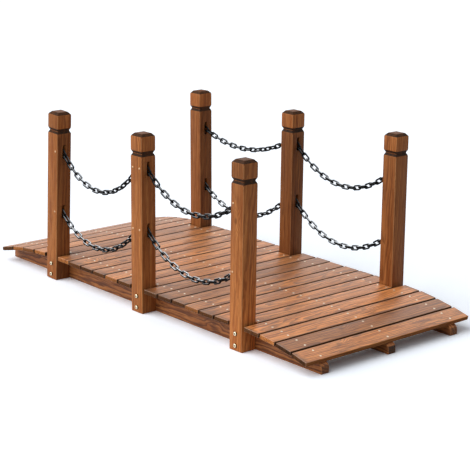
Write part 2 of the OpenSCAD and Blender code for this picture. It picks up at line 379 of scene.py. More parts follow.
def block(name, low, high):
    """A block of timber that fills a box."""
    bpy.ops.object.select_all(action="DESELECT")
    bpy.ops.mesh.primitive_cube_add(size=1, location=(low + high) / 2, scale=high - low)
    piece = bpy.context.object
    piece.name = piece.data.name = name
    bpy.ops.object.transform_apply(location=True, rotation=True, scale=True)
    return piece


def cut_off(piece, place, outwards):
    """Saws away all that lies beyond a plane."""
    with editing(piece):
        bpy.ops.mesh.select_all(action="SELECT")
        bpy.ops.mesh.bisect(plane_co=place, plane_no=outwards, use_fill=True, clear_outer=True)


def score(piece, place, across, test=None):
    """Cuts a line round a piece, or across the faces that pass a test."""
    with editing(piece):
        if test is None:
            bpy.ops.mesh.select_all(action="SELECT")
        else:
            select_faces(piece, test)
        bpy.ops.mesh.bisect(plane_co=place, plane_no=across)


def store(piece, name, values, kind="FLOAT", domain="POINT"):
    """Stores a value for each point or face of a piece, which its finish reads by name."""
    field = "vector" if kind == "FLOAT_VECTOR" else "value"
    piece.data.attributes.new(name, kind, domain).data.foreach_set(field, values)


def soften(piece, radius, wear):
    """Rounds the sharp edges and marks the rounded faces as worn."""
    only(piece)
    mark = bpy.data.materials.get("edge_mark") or bpy.data.materials.new("edge_mark")
    piece.data.materials.append(mark)
    piece.data.materials.append(mark)
    modifier = piece.modifiers.new("soften", "BEVEL")
    modifier.width = radius
    modifier.segments = 3
    modifier.limit_method = "ANGLE"
    modifier.angle_limit = SHARP
    modifier.material = 1
    bpy.ops.object.modifier_apply(modifier=modifier.name)
    store(piece, "wear", [wear * face.material_index for face in piece.data.polygons], domain="FACE")
    for face in piece.data.polygons:
        face.material_index = 0
    piece.data.materials.clear()
    bpy.ops.object.shade_smooth_by_angle(angle=SMOOTH)


def lay_grain(piece, along, across, middle, draw):
    """Gives a piece its place in an imaginary log: millimetres along, across and through it."""
    through = along.cross(across)
    pith = Vector([draw.uniform(*ends) for ends in PITH_DRAWS])
    tilt = [draw.uniform(*ends) for ends in TILT_DRAWS]
    values = []
    for vertex in piece.data.vertices:
        away = (vertex.co - middle) / MM
        u = away.dot(along)
        values += [
            u + pith.x,
            away.dot(across) + pith.y + tilt[0] * u,
            away.dot(through) + pith.z + tilt[1] * u,
        ]
    store(piece, "grain", values, "FLOAT_VECTOR")


def put_knot(piece, along, across, place):
    """Stores each point's distance in millimetres from a knot, along and across the grain."""
    values = []
    for vertex in piece.data.vertices:
        away = (vertex.co - place) / MM
        values += [away.dot(along), away.dot(across), 0]
    store(piece, "knot", values, "FLOAT_VECTOR")


def mark_faces(piece, name, value_of):
    """Stores one number for each face, from its middle and normal."""
    values = [float(value_of(face.center, face.normal)) for face in piece.data.polygons]
    store(piece, name, values, domain="FACE")


def lay_scorch(piece, low, high, reach):
    """Stores how far each point lies inside the scorch of the front and the back end, 1 at the end."""
    values = []
    for vertex in piece.data.vertices:
        values += [1 - (vertex.co.y - low.y) / reach[-1], 1 - (high.y - vertex.co.y) / reach[1], 0]
    store(piece, "scorch", values, "FLOAT_VECTOR")


def set_tone(piece, tone, foot=None, above=FAR_AWAY, lift=0.0):
    """Stores how pale or dark a piece is, from -1 to 1: its tone at the top, another at the foot, which on
    the posts is painted light from the floor, and a lift above a height."""
    foot = tone if foot is None else foot
    heights = [vertex.co.z for vertex in piece.data.vertices]
    low, rise = min(heights), max(heights) - min(heights)
    values = [foot + (tone - foot) * (z - low) / rise + lift * (z > above) for z in heights]
    store(piece, "tone", values)


def set_in_place(piece, turn):
    """Turns a finished piece from its own axes into the bridge's."""
    only(piece)
    piece.matrix_world = turn
    bpy.ops.object.transform_apply(location=True, rotation=True, scale=True)


def finish_named(name):
    """A finish that has been made."""
    return bpy.data.materials[name]


def fit(piece, finish, slot, *nodes):
    """Gives a piece its finish, unless it has its own, and its place on the bridge."""
    if finish:
        piece.data.materials.append(finish)
    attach(piece, BODY)
    if nodes:
        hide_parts(*nodes)


def refinish(piece, finish, test):
    """Gives a second finish to the faces that pass a test on their middle and normal."""
    piece.data.materials.append(finish)
    for face in piece.data.polygons:
        face.material_index = 1 if test(face.center, face.normal) else 0


def domed_head(name, radius, height, vertices, rounding, segments):
    """A round head that stands on Z = 0, rounded over a share of its height."""
    bpy.ops.object.select_all(action="DESELECT")
    bpy.ops.mesh.primitive_cylinder_add(
        vertices=vertices, radius=radius, depth=height, location=(0, 0, height / 2))
    head = bpy.context.object
    head.name = head.data.name = name
    bpy.ops.object.transform_apply(location=True, rotation=True, scale=True)
    with editing(head, "EDGE"):
        select_edges(head, lambda a, b: min(a.z, b.z) > height / 2)
        bpy.ops.mesh.bevel(offset=height * rounding, segments=segments, affect="EDGES", profile=0.5)
    only(head)
    bpy.ops.object.shade_smooth_by_angle(angle=SMOOTH_HEAD)
    return head


def facing_out(point, side, turn):
    """Stands a head on the posts' outer face, turned by an angle about its own axis."""
    out = Matrix.Rotation(-side * math.pi / 2, 4, "X")
    return Matrix.Translation(point) @ out @ Matrix.Rotation(turn, 4, "Z")


def copied(model, turn):
    """A copy of a small piece with its own mesh, moved to its place."""
    copy = model.copy()
    copy.data = model.data.copy()
    bpy.context.collection.objects.link(copy)
    set_in_place(copy, turn)
    return copy


def joined(name, copies):
    """Joins copies of small pieces to one piece."""
    bpy.ops.object.select_all(action="DESELECT")
    for copy in copies:
        copy.select_set(True)
    bpy.context.view_layer.objects.active = copies[0]
    bpy.ops.object.join()
    piece = bpy.context.object
    piece.name = piece.data.name = name
    return piece


# Finishes


def add(tree, kind, sockets=None, **settings):
    """Adds a shader node of a kind. A socket takes a value, or a link from another node's output."""
    new = tree.nodes.new("ShaderNode" + kind)
    for name, value in settings.items():
        setattr(new, name, value)
    for name, value in (sockets or {}).items():
        if isinstance(value, bpy.types.NodeSocket):
            tree.links.new(value, new.inputs[name])
        else:
            new.inputs[name].default_value = value
    return new


def blank(name):
    """The tree and the Principled shader of a new finish."""
    material = bpy.data.materials.new(name)
    material.use_nodes = True
    return material.node_tree, material.node_tree.nodes["Principled BSDF"]


def rgba(value):
    """A colour with its alpha."""
    return (*value, 1.0)


def stained_fir(name, wood, shades, roughness, sheen, patchy, lines, rings, spacing=None, sway=15):
    """Planed fir under a semi-gloss brown stain: dark late wood lines bend round knots, the stain takes in
    streaks, cut ends and grooves are scorched, painted shade darkens slots, gaps and shaded sides, and worn
    edges show paler wood."""
    tree, shader = blank(name)
    pale, brown, dark = (rgba(shade) for shade in shades)
    grain, knot, scorch = (
        add(tree, "Attribute", attribute_name=layer).outputs["Vector"]
        for layer in ("grain", "knot", "scorch"))
    wear, char, tone = (
        add(tree, "Attribute", attribute_name=layer).outputs["Fac"]
        for layer in ("wear", "char", "tone"))

    # The knot pushes the rings aside: its oval is longer along the grain
    oval = add(tree, "VectorMath", {0: knot, 1: (0.6, 1.0, 0.0)}, operation="MULTIPLY")
    from_knot = add(tree, "VectorMath", {0: oval.outputs[0]}, operation="LENGTH").outputs["Value"]
    push = add(tree, "MapRange", {
        "Value": from_knot, "From Min": 4.0, "From Max": 34.0, "To Min": 13.0, "To Max": 0.0},
        interpolation_type="SMOOTHERSTEP").outputs["Result"]

    # Growth rings wander by a few millimetres over a hand's breadth
    wander = add(tree, "VectorMath", {
        0: grain, 1: (1 / 160, 1 / 34, 1 / 34)}, operation="MULTIPLY")
    wander = add(tree, "TexNoise", {
        "Vector": wander.outputs[0], "Scale": 1.0, "Detail": 3.0, "Roughness": 0.55})
    wander = add(tree, "VectorMath", {
        0: wander.outputs["Color"], 1: (0.5, 0.5, 0.5)}, operation="SUBTRACT")
    wander = add(tree, "VectorMath", {
        0: wander.outputs[0], 1: (0, sway, sway)}, operation="MULTIPLY")
    bent = add(tree, "VectorMath", {0: grain, 1: wander.outputs[0]}, operation="ADD").outputs[0]
    cross = add(tree, "VectorMath", {0: bent, 1: (0, 1, 1)}, operation="MULTIPLY")
    from_pith = add(tree, "VectorMath", {0: cross.outputs[0]}, operation="LENGTH").outputs["Value"]
    radius = add(tree, "Math", {0: from_pith, 1: push}, operation="ADD").outputs[0]
    # Rings of real fir are finer, and these are as coarse as the picture needs to show them
    count = add(tree, "Math", {
        0: radius, 1: spacing or wood.ring_width / MM}, operation="DIVIDE").outputs[0]
    season = add(tree, "Math", {0: count}, operation="FRACT").outputs[0]
    late = add(tree, "MapRange", {
        "Value": season, "From Min": 0.35, "From Max": 0.92},
        interpolation_type="SMOOTHSTEP").outputs["Result"]
    ring_end = add(tree, "MapRange", {
        "Value": season, "From Min": 0.92, "From Max": 1.0, "To Min": 1.0, "To Max": 0.0}).outputs["Result"]
    ring = add(tree, "Math", {0: late, 1: ring_end}, operation="MULTIPLY").outputs[0]

    # Millimetres along and across the grain, with the noise's detail and roughness: fibres, streaks of
    # stain, dark lines as long as a forearm, and scorched or weathered patches about as long as a hand
    noise = {}
    for pattern, at, long, wide, detail, rough in (
            ("fibre", bent, 70, 1.6, 3.0, 0.6),
            ("streak", bent, 230, 9, 4.0, 0.6),
            ("line", bent, 300, 4, 2.0, 0.5),
            ("patch", grain, 110, 26, 4.0, 0.65)):
        scaled = add(tree, "VectorMath", {
            0: at, 1: (1 / long, 1 / wide, 1 / wide)}, operation="MULTIPLY").outputs[0]
        noise[pattern] = add(tree, "TexNoise", {
            "Vector": scaled, "Scale": 1.0, "Detail": detail, "Roughness": rough}).outputs["Fac"]
    fibre = noise["fibre"]
    streak = add(tree, "MapRange", {
        "Value": noise["streak"], "From Min": 0.32, "From Max": 0.68},
        interpolation_type="SMOOTHSTEP").outputs["Result"]

    # Colour: pale to brown by streak, then dark by ring, fibre, line, patch and knot
    ring_share = add(tree, "Math", {0: ring, 1: rings}, operation="MULTIPLY").outputs[0]
    fibre_share = add(tree, "MapRange", {
        "Value": fibre, "From Min": 0.5, "From Max": 0.8, "To Max": 0.55}).outputs["Result"]
    line_share = add(tree, "MapRange", {
        "Value": noise["line"], "From Min": 0.52, "From Max": 0.68, "To Max": lines},
        interpolation_type="SMOOTHSTEP").outputs["Result"]
    patch_share = add(tree, "MapRange", {
        "Value": noise["patch"], "From Min": 0.54, "From Max": 0.72, "To Max": patchy},
        interpolation_type="SMOOTHSTEP").outputs["Result"]
    knot_share = add(tree, "MapRange", {
        "Value": from_knot, "From Min": 3.0, "From Max": 8.0, "To Min": 0.5, "To Max": 0.0},
        interpolation_type="SMOOTHSTEP").outputs["Result"]
    base = add(tree, "Mix", {0: streak, 6: brown, 7: pale}, data_type="RGBA").outputs[2]
    for share in (ring_share, fibre_share, line_share, patch_share, knot_share):
        base = add(tree, "Mix", {0: share, 6: base, 7: dark}, data_type="RGBA").outputs[2]
    # A whole piece may have taken more or less stain
    level = add(tree, "Math", {0: tone, 1: 0.5, 2: 1.0}, operation="MULTIPLY_ADD").outputs[0]
    base = add(tree, "VectorMath", {0: base, "Scale": level}, operation="SCALE").outputs[0]

    # Scorch and painted shade are ragged, and wear shows where the fibres stand
    char_and_shade_share = add(tree, "Math", {
        0: streak, 1: 0.2, 2: 0.78}, operation="MULTIPLY_ADD").outputs[0]
    char_and_shade_share = add(tree, "Math", {0: char_and_shade_share, 1: char}, operation="MULTIPLY").outputs[0]
    inside = add(tree, "SeparateXYZ", {"Vector": scorch}).outputs
    run = add(tree, "Math", {0: inside["X"], 1: inside["Y"]}, operation="MAXIMUM").outputs[0]
    ragged = add(tree, "Math", {0: streak, 1: 0.7, 2: 0.6}, operation="MULTIPLY_ADD").outputs[0]
    run = add(tree, "Math", {0: run, 1: ragged}, operation="MULTIPLY").outputs[0]
    run = add(tree, "MapRange", {
        "Value": run, "From Min": 0.25, "From Max": 0.95, "To Max": 0.6},
        interpolation_type="SMOOTHSTEP").outputs["Result"]
    char_and_shade_share = add(tree, "Math", {0: char_and_shade_share, 1: run}, operation="MAXIMUM").outputs[0]
    wear_share = add(tree, "MapRange", {
        "Value": fibre, "From Min": 0.42, "From Max": 0.7, "To Min": 0.8, "To Max": 0.1}).outputs["Result"]
    wear_share = add(tree, "Math", {0: wear_share, 1: wear}, operation="MULTIPLY").outputs[0]
    for share, tint in ((char_and_shade_share, wood.char), (wear_share, wood.worn)):
        base = add(tree, "Mix", {0: share, 6: base, 7: rgba(tint)}, data_type="RGBA").outputs[2]
    tree.links.new(base, shader.inputs["Base Color"])

    # Fibres vary the coat's gloss about its mean, and scorched and shaded faces are matt
    rough = add(tree, "Math", {
        0: fibre, 1: 0.22, 2: roughness - 0.11}, operation="MULTIPLY_ADD").outputs[0]
    rough = add(tree, "Math", {0: char, 1: 0.3, 2: rough}, operation="MULTIPLY_ADD").outputs[0]
    tree.links.new(rough, shader.inputs["Roughness"])
    shader.inputs["Specular IOR Level"].default_value = sheen
    relief = add(tree, "Math", {0: ring, 1: 0.6, 2: fibre}, operation="MULTIPLY_ADD").outputs[0]
    bump = add(tree, "Bump", {"Strength": 0.5, "Distance": 0.35 * MM, "Height": relief})
    tree.links.new(bump.outputs[0], shader.inputs["Normal"])


def dark_chain_steel(metal):
    """Dark drawn wire links with spots rubbed bright and a painted highlight on their upper sides."""
    tree, shader = blank("dark_chain_steel")
    at = add(tree, "TexCoord").outputs
    spot = add(tree, "SeparateXYZ", {"Vector": at["Object"]}).outputs
    # Rubbed spots are about 3 mm across
    bright = add(tree, "TexNoise", {
        "Vector": at["Object"], "Scale": 1 / (3 * MM), "Detail": 3.0}).outputs["Fac"]
    bright = add(tree, "MapRange", {
        "Value": bright, "From Min": 0.35, "From Max": 0.65, "To Min": 0.45}).outputs["Result"]
    # Painted highlight: the upper sides of the links are drawn bright, and the rest stays near black
    upper = add(tree, "SeparateXYZ", {"Vector": at["Normal"]}).outputs["Z"]
    upper = add(tree, "MapRange", {
        "Value": upper, "From Min": 0.5, "From Max": 0.85},
        interpolation_type="SMOOTHSTEP").outputs["Result"]
    # The end links by the posts get little of the rubbed spots and the painted highlight
    from_post = add(tree, "Math", {
        0: spot["X"], 1: post_spacing() / 2}, operation="PINGPONG").outputs[0]
    away_from_posts = add(tree, "MapRange", {
        "Value": from_post, "From Min": 30 * MM, "From Max": 75 * MM, "To Min": 0.1}).outputs["Result"]
    # The lower chains get more of the rubbed spots and the painted highlight than the upper ones
    tops = [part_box(name)[1].z for name in ("front_left_lower_chain", "front_left_upper_chain")]
    lower = add(tree, "MapRange", {
        "Value": spot["Z"], "From Min": tops[0], "From Max": tops[1],
        "To Min": 1.0, "To Max": 0.1}).outputs["Result"]
    for share in (upper, away_from_posts, lower):
        bright = add(tree, "Math", {0: bright, 1: share}, operation="MULTIPLY").outputs[0]
    base = add(tree, "Mix", {
        0: bright, 6: rgba(metal.steel), 7: rgba(metal.rubbed)}, data_type="RGBA").outputs[2]
    tree.links.new(base, shader.inputs["Base Color"])
    rough = add(tree, "Math", {0: bright, 1: -0.1, 2: 0.36}, operation="MULTIPLY_ADD").outputs[0]
    tree.links.new(rough, shader.inputs["Roughness"])
    shader.inputs["Metallic"].default_value = 1.0


def zinc_plate(name, tint):
    """Bright zinc plating: a soft metal gleam with slightly cloudy patches."""
    tree, shader = blank(name)
    at = add(tree, "TexCoord").outputs["Object"]
    # Clouds of about 2 mm
    cloud = add(tree, "TexNoise", {
        "Vector": at, "Scale": 1 / (2 * MM), "Detail": 2.0}).outputs["Fac"]
    dull = tuple(0.72 * c for c in tint)
    base = add(tree, "Mix", {0: cloud, 6: rgba(tint), 7: rgba(dull)}, data_type="RGBA").outputs[2]
    tree.links.new(base, shader.inputs["Base Color"])
    rough = add(tree, "Math", {0: cloud, 1: 0.2, 2: 0.24}, operation="MULTIPLY_ADD").outputs[0]
    tree.links.new(rough, shader.inputs["Roughness"])
    shader.inputs["Metallic"].default_value = 1.0


def seen_rays(tree):
    """1 for what the camera sees, straight or by gloss or glass, and 0 for light that bounces."""
    path = add(tree, "LightPath").outputs
    seen = path["Is Camera Ray"]
    for ray in ("Is Glossy Ray", "Is Transmission Ray"):
        seen = add(tree, "Math", {0: seen, 1: path[ray]}, operation="MAXIMUM").outputs[0]
    return seen


def pale_floor(stage):
    """A white studio floor: it keeps the shadows, and lights the bridge from below only a little."""
    tree, shader = blank("pale_floor")
    tree.nodes.remove(shader)
    matt, more, grey = (
        add(tree, "BsdfDiffuse", {"Color": rgba(tint)}).outputs[0]
        for tint in (stage.floor, [stage.floor_lift] * 3, [stage.floor_bounce] * 3))
    white = add(tree, "AddShader", {0: matt, 1: more}).outputs[0]
    both = add(tree, "MixShader", {0: seen_rays(tree), 1: grey, 2: white}).outputs[0]
    tree.links.new(both, tree.nodes["Material Output"].inputs["Surface"])


# Operators: each has its own draws, from the seed and its own number


class FOOTBRIDGE_OT_finishes(bpy.types.Operator):
    """Make the finishes of the wood and the metal"""
    bl_idname = "footbridge.finishes"
    bl_label = "Finishes"

    def execute(self, context):
        wood, metal = context.scene.footbridge.wood, context.scene.footbridge.metal
        post_shades = (wood.post_pale, wood.post_brown, wood.post_dark)
        deck_shades = (wood.deck_pale, wood.deck_brown, wood.deck_dark)
        for part, look in FIR_LOOKS.items():
            shades = deck_shades if part in ("boards", "ends") else post_shades
            stained_fir(f"stained_fir_{part}", wood, shades, **look)
        dark_chain_steel(metal)
        zinc_plate("yellow_zinc_plate", metal.zinc)
        zinc_plate("bright_zinc_plate", metal.nail)
        # The same plating in a dark tint is the painted shade on the screw heads
        zinc_plate("shaded_zinc", metal.recess_and_rim_shade)
        zinc_plate("coppery_zinc", metal.pin)
        return {"FINISHED"}


class FOOTBRIDGE_OT_stringers(bpy.types.Operator):
    """Model the three stringers, sawn to the ramps' curve"""
    bl_idname = "footbridge.stringers"
    bl_label = "Stringers"

    def execute(self, context):
        wood = context.scene.footbridge.wood
        draw = random.Random(wood.seed)
        for name in STRINGERS:
            low, high = (Vector(corner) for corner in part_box(name))
            piece = block(name.replace("stringer", "timber"), low, high)
            self.saw_ramps(piece, name, high, wood.tip_radius)
            soften(piece, wood.edge_radius, WEAR["stringers"])
            along, across = Vector((1, 0, 0)), Vector((0, 0, 1))
            lay_grain(piece, along, across, (low + high) / 2, draw)
            drawn = [draw.uniform(*ends) for ends in STRINGER_KNOT_DRAWS]
            knot_x, knot_z = STRINGER_KNOTS.get(name, drawn)
            put_knot(piece, along, across, Vector((knot_x, 0, knot_z)))
            tip = CHAR_AND_SHADE["middle tip"] if name == "middle_stringer" else CHAR_AND_SHADE["outer tip"]
            mark_faces(piece, "char", lambda place, normal: tip if abs(normal.x) > ROUGHLY else 0)
            set_tone(piece, STRINGER_TONE)
            fit(piece, finish_named("stained_fir_stringers"), "stained_wood", name)
        return {"FINISHED"}

    def saw_ramps(self, piece, name, high, tip_radius):
        """Saws the arc of both ramps in flat cuts, and rounds the upper corner of the tips."""
        cuts = 12
        ramp_start = middle_of("front_right_post", 0)
        tip_start = high.x - tip_radius
        run, drop = tip_start - ramp_start, high.z - stringer_top(name, tip_start)
        radius = (run * run + drop * drop) / (2 * drop)
        for end in (-1, 1):
            centre = Vector((end * ramp_start, 0, high.z - radius))
            for step in range(1, cuts + 1):
                slope = (step - 0.5) / cuts * math.asin((high.x - ramp_start) / radius)
                outwards = Vector((end * math.sin(slope), 0, math.cos(slope)))
                cut_off(piece, centre + outwards * radius, outwards)

        def at_tip(point):
            return abs(point.x) > high.x - TOUCH and point.z > CLEAR

        with editing(piece, "EDGE"):
            select_edges(piece, lambda a, b: at_tip(a) and at_tip(b) and abs(a.y - b.y) > CLEAR)
            bpy.ops.mesh.bevel(offset=tip_radius, segments=5, affect="EDGES")


class FOOTBRIDGE_OT_posts(bpy.types.Operator):
    """Model the six posts with their caps, grooves and chain slots"""
    bl_idname = "footbridge.posts"
    bl_label = "Posts"

    def execute(self, context):
        wood, post = context.scene.footbridge.wood, context.scene.footbridge.post
        draw = random.Random(wood.seed + 1)
        for side_name, side in SIDES.items():
            pins = head_middles(f"{side_name}_chain_pins", side)
            for column in COLUMNS:
                node = f"{side_name}_{column}_post"
                turn = turn_of(node, 0)
                low, high = turned_box(node, turn)
                own_pins = [turn.inverted() @ pin for pin in pins]
                own_pins = [pin for pin in own_pins if low.x < pin.x < high.x]
                piece = self.shape(f"{side_name}_{column}_newel", low, high, own_pins, post)
                self.dress(piece, low, high, draw, post)
                set_in_place(piece, turn)
                fit(piece, finish_named("stained_fir_posts"), "stained_wood", node)
                cap = high.z - post.cap_rise
                refinish(
                    piece, finish_named("stained_fir_caps"),
                    lambda place, normal: place.z > cap and normal.z > CLOSELY)
        return {"FINISHED"}

    def shape(self, name, low, high, pins, post):
        """One post in its own axes, as a block with its groove, cap and slots cut."""
        middle = (low + high) / 2
        half = (high.x - low.x) / 2
        groove = high.z - post.groove_drop
        turned = (groove - post.groove_height / 2, groove + post.groove_height / 2, high.z - post.cap_rise)
        piece = block(name, low, high)
        for z in sorted((groove, *turned)):
            score(piece, (0, 0, z), (0, 0, 1))
        for z, inset in ((groove, post.groove_depth), (high.z, post.cap_inset)):
            with editing(piece, "VERT"):
                mesh = bmesh.from_edit_mesh(piece.data)
                for vertex in mesh.verts:
                    vertex.select_set(abs(vertex.co.z - z) < SAME)
                mesh.select_flush_mode()
                share = (half - inset) / half
                bpy.ops.transform.resize(value=(share, share, 1), center_override=(middle.x, middle.y, z))
        with editing(piece, "EDGE"):
            select_edges(
                piece,
                lambda a, b: abs(a.z - b.z) < SAME and min(abs(a.z - z) for z in turned) < SAME)
            bpy.ops.mesh.bevel(offset=post.turned_radius, segments=3, affect="EDGES")
        for pin in pins:
            self.cut_slot(piece, middle, pin, post)
        soften(piece, post.edge_radius, WEAR["posts"])
        # Only the upright corners are rubbed pale
        corner = half - post.edge_radius
        for face, worn in zip(piece.data.polygons, piece.data.attributes["wear"].data):
            away = face.center - middle
            if abs(face.normal.z) > UPRIGHT or min(abs(away.x), abs(away.y)) < corner:
                worn.value = 0
        return piece

    def cut_slot(self, piece, middle, pin, post):
        """A vertical slot with round ends, in the face next to a pin."""
        face = 1 if pin.x > middle.x else -1
        bottom, top = pin.z - post.slot_below, pin.z + post.slot_above
        half = post.slot_width / 2
        # A little less than the whole half, so that the two rounded corners don't meet
        corner = 0.96 * half

        def on_face(place, normal):
            return normal.x * face > SQUARELY

        def beside_slot(place, normal):
            return on_face(place, normal) and bottom < place.z < top

        def in_slot(place, normal):
            return beside_slot(place, normal) and abs(place.y - middle.y) < half

        def at_corner(a, b):
            deep = abs(a.x - b.x) > post.slot_depth * NEARLY and abs(a.z - b.z) < TOUCH
            on_side = abs(abs(a.y - middle.y) - half) < TOUCH
            return deep and on_side and min(abs(a.z - bottom), abs(a.z - top)) < TOUCH

        for z in (bottom, top):
            score(piece, (0, 0, z), (0, 0, 1), on_face)
        for y in (-half, half):
            score(piece, (0, middle.y + y, 0), (0, 1, 0), beside_slot)
        with editing(piece):
            select_faces(piece, in_slot)
            bpy.ops.mesh.extrude_region_move(
                TRANSFORM_OT_translate={"value": (-face * post.slot_depth, 0, 0)})
        with editing(piece, "EDGE"):
            select_edges(piece, at_corner)
            bpy.ops.mesh.bevel(offset=corner, segments=4, affect="EDGES")

    def dress(self, piece, low, high, draw, post):
        """The post's grain, knot, scorching, painted shade in its slots and on some sides, and tone, with
        painted light at the foot.
        """
        middle = (low + high) / 2
        groove = high.z - post.groove_drop
        lift = CAP_LIFTS.get(piece.name, 0)
        along, across = Vector((0, 0, 1)), Vector((1, 0, 0))
        lay_grain(piece, along, across, middle, draw)
        knot_x = middle.x + draw.uniform(*POST_KNOT_DRAW)
        knot_z = low.z + KNOTTY_POSTS.get(piece.name, FAR_AWAY)
        put_knot(piece, along, across, Vector((knot_x, 0, knot_z)))
        cap = high.z - post.cap_rise + 1 * MM
        slot_from = 3 * MM

        def scorch(place, normal):
            if place.z > cap:
                return CHAR_AND_SHADE["cap top"] if normal.z > CLOSELY else CHAR_AND_SHADE["cap slope"]
            if abs(place.z - groove) < post.groove_height / 2 and abs(normal.z) > UPRIGHT:
                return CHAR_AND_SHADE["groove"]
            if place.z > groove and abs(normal.y) > NEARLY and not lift:
                return CHAR_AND_SHADE["cap block"]
            # The inside of a chain slot gets painted shade
            deep = min(place.x - low.x, high.x - place.x) > slot_from and abs(normal.z) < SQUARELY
            if deep and abs(normal.y) < SQUARELY and abs(place.y - middle.y) < CLEAR:
                return CHAR_AND_SHADE["slot"]
            # Painted shade on the +X side of some posts, below the groove
            return PAINTED_SHADE_SIDES.get(piece.name, 0) if normal.x > NEARLY and place.z < groove else 0

        mark_faces(piece, "char", scorch)
        set_tone(piece, *POST_TONES_AND_FOOT_LIGHT[piece.name], groove, lift)


class FOOTBRIDGE_OT_boards(bpy.types.Operator):
    """Model the deck's boards, each with its own cut ends, grain and tone"""
    bl_idname = "footbridge.boards"
    bl_label = "Deck boards"

    def execute(self, context):
        wood = context.scene.footbridge.wood
        draw = random.Random(wood.seed + 2)
        saw = random.Random(wood.seed + 5)
        for node in BOARDS:
            turn = turn_of(node, 2)
            low, high = turned_box(node, turn)
            piece = block(node.replace("deck_board", "plank"), low, high)
            for end in (-1, 1):
                skew = draw.uniform(-wood.saw_skew, wood.saw_skew)
                self.skew_end(piece, (low + high) / 2, high, end, skew, saw.uniform(0, wood.stagger))
            soften(piece, wood.board_edge, WEAR["boards"])
            outer = {BOARDS[0]: -1, BOARDS[-1]: 1}.get(node, 0)
            self.dress(piece, low, high, outer, draw)
            set_in_place(piece, turn)
            fit(piece, finish_named("stained_fir_boards"), "deck_wood", node)
            refinish(
                piece, finish_named("stained_fir_ends"),
                lambda place, normal: abs(normal.y) > ROUGHLY or abs(normal.x) > ROUGHLY)
        return {"FINISHED"}

    def skew_end(self, piece, middle, high, end, skew, short):
        """Turns one sawn end by a small angle and sets it back a little, inside the board's length."""
        spare = 0.05 * MM
        back = abs((high.x - middle.x) * math.tan(skew)) + spare + short
        with editing(piece):
            select_faces(piece, lambda place, normal: normal.y * end > NEARLY)
            bpy.ops.transform.translate(value=(0, -end * back, 0))
            bpy.ops.transform.rotate(
                value=skew, orient_axis="Z", center_override=(middle.x, end * (high.y - back), middle.z))

    def dress(self, piece, low, high, outer, draw):
        """The board's grain, knot, scorched ends, sides in painted shade, and tone."""
        middle = (low + high) / 2
        along, across = Vector((0, 1, 0)), Vector((1, 0, 0))
        lay_grain(piece, along, across, middle, draw)
        knot_x, knot_y = (draw.uniform(*ends) for ends in BOARD_KNOT_DRAWS)
        if draw.random() < CLEAR_BOARDS:
            knot_y = FAR_AWAY
        put_knot(piece, along, across, Vector((middle.x + knot_x, knot_y, middle.z)))
        burnt = {end: draw.random() < BURNT_ENDS for end in (-1, 1)}
        burnt[-1] = burnt[-1] or piece.name in BURNT_IN_FRONT
        reach = {end: (draw.uniform(*BURNT_REACH) if burnt[end] else PLAIN_REACH) * MM for end in burnt}
        darks = {end: draw.uniform(*(BURNT_DARK if burnt[end] else PLAIN_DARK)) for end in burnt}
        if piece.name in WEATHERED_ENDS:
            reach[-1] = WEATHERED_ENDS[piece.name] * MM
            darks[-1] = CHAR_AND_SHADE["weathered end"]
        lay_scorch(piece, low, high, reach)
        mark_faces(piece, "char", lambda place, normal: self.scorch(normal, darks, outer))
        set_tone(piece, BOARD_TONES.get(piece.name, draw.uniform(*BOARD_TONE_DRAW)))

    def scorch(self, normal, darks, outer):
        """How dark a face is: the sawn ends are scorched by their own draw, and the sides that look into a
        gap or out from an end board get painted shade.
        """
        flat, steep = 0.2, 0.4
        if abs(normal.y) > ROUGHLY:
            return darks[1 if normal.y > 0 else -1]
        if abs(normal.x) < flat:
            return 0
        if normal.x * outer > 0:
            return CHAR_AND_SHADE["shaded outer side"] if abs(normal.x) > ROUGHLY else CHAR_AND_SHADE["outer edge"]
        return CHAR_AND_SHADE["shaded gap side"] if abs(normal.x) > steep else CHAR_AND_SHADE["shaded gap edge"]


class FOOTBRIDGE_OT_chains(bpy.types.Operator):
    """Give the chains' links their dark steel"""
    bl_idname = "footbridge.chains"
    bl_label = "Chains"

    def execute(self, context):
        steel = finish_named("dark_chain_steel")
        for name in CHAINS:
            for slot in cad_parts[name].material_slots:
                slot.material = steel
        return {"FINISHED"}


